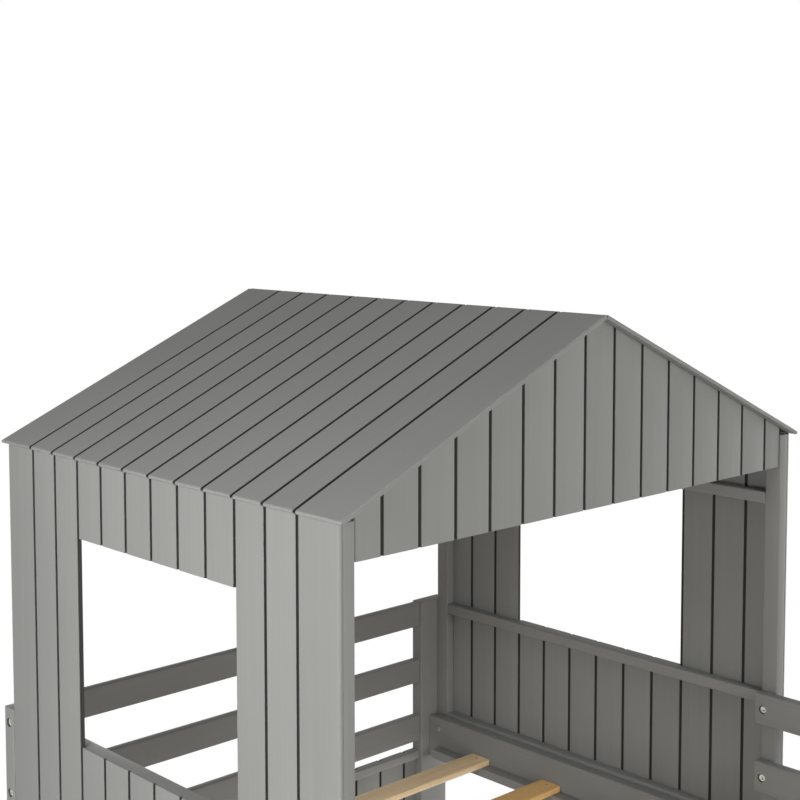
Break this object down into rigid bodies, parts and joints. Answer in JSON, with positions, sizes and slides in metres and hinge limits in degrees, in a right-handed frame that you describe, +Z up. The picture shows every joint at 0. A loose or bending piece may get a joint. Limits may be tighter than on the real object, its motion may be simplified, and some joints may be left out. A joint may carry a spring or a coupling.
{
  "type": "bunk bed",
  "caption": "Bunk bed with a planked playhouse with roof and windows over one half of the upper bunk, slatted bases, guard rails and a ladder.",
  "frame": {"origin": "on the floor, midway between the ends and between the eaves", "axes": "+X along the bed towards its open end, away from the playhouse; +Y from the ladder side to the far side; +Z up"},
  "size_m": [2.027, 1.1082, 2.229],
  "materials": {
    "painted_frame": "satin warm grey paint on planed softwood, fine brushed grain",
    "painted_boards": "satin warm grey paint on tongued boards, fine brushed grain",
    "pine_slat": "bare planed pine with visible grain and small knots"
  },
  "bodies": {
    "root": {"lower_side_rail_far": "painted_frame", "lower_side_rail_near": "painted_frame", "lower_slat_1": "pine_slat", "lower_slat_2": "pine_slat", "lower_slat_3": "pine_slat", "lower_slat_4": "pine_slat", "lower_slat_5": "pine_slat", "lower_slat_6": "pine_slat", "lower_slat_7": "pine_slat", "lower_slat_8": "pine_slat", "lower_slat_9": "pine_slat", "upper_side_rail_far": "painted_frame", "upper_side_rail_near": "painted_frame", "upper_slat_1": "pine_slat", "upper_slat_2": "pine_slat", "upper_slat_3": "pine_slat", "upper_slat_4": "pine_slat", "upper_slat_5": "pine_slat", "upper_slat_6": "pine_slat", "upper_slat_7": "pine_slat", "upper_slat_8": "pine_slat", "upper_slat_9": "pine_slat", "open_end_post_near": "painted_frame", "open_end_post_far": "painted_frame", "open_end_rail_1": "painted_frame", "open_end_rail_2": "painted_frame", "open_end_rail_3": "painted_frame", "open_end_planked_panel": "painted_boards", "bunk_end_post_near": "painted_frame", "bunk_end_post_far": "painted_frame", "bunk_end_rail_1": "painted_frame", "bunk_end_rail_2": "painted_frame", "bunk_end_rail_3": "painted_frame", "bunk_end_planked_panel": "painted_boards", "house_window_head_near": "painted_boards", "house_window_sill_near": "painted_boards", "house_boards_near_bunk_end": "painted_boards", "house_post_near_bunk_end": "painted_frame", "house_boards_near_open_end": "painted_boards", "house_post_near_open_end": "painted_frame", "house_window_head_far": "painted_boards", "house_window_sill_far": "painted_boards", "house_boards_far_bunk_end": "painted_boards", "house_post_far_bunk_end": "painted_frame", "house_boards_far_open_end": "painted_boards", "house_post_far_open_end": "painted_frame", "house_gable_open_end": "painted_boards", "house_gable_bunk_end": "painted_boards", "house_roof_far": "painted_boards", "house_roof_near": "painted_boards", "guard_rail_far_1": "painted_frame", "guard_rail_far_2": "painted_frame", "guard_rail_near_1": "painted_frame", "guard_rail_near_2": "painted_frame", "ladder_stile_left": "painted_frame", "ladder_stile_right": "painted_frame", "ladder_rung_1": "painted_frame", "ladder_rung_2": "painted_frame", "ladder_rung_3": "painted_frame", "ladder_rung_4": "painted_frame"}
  },
  "joints": []
}
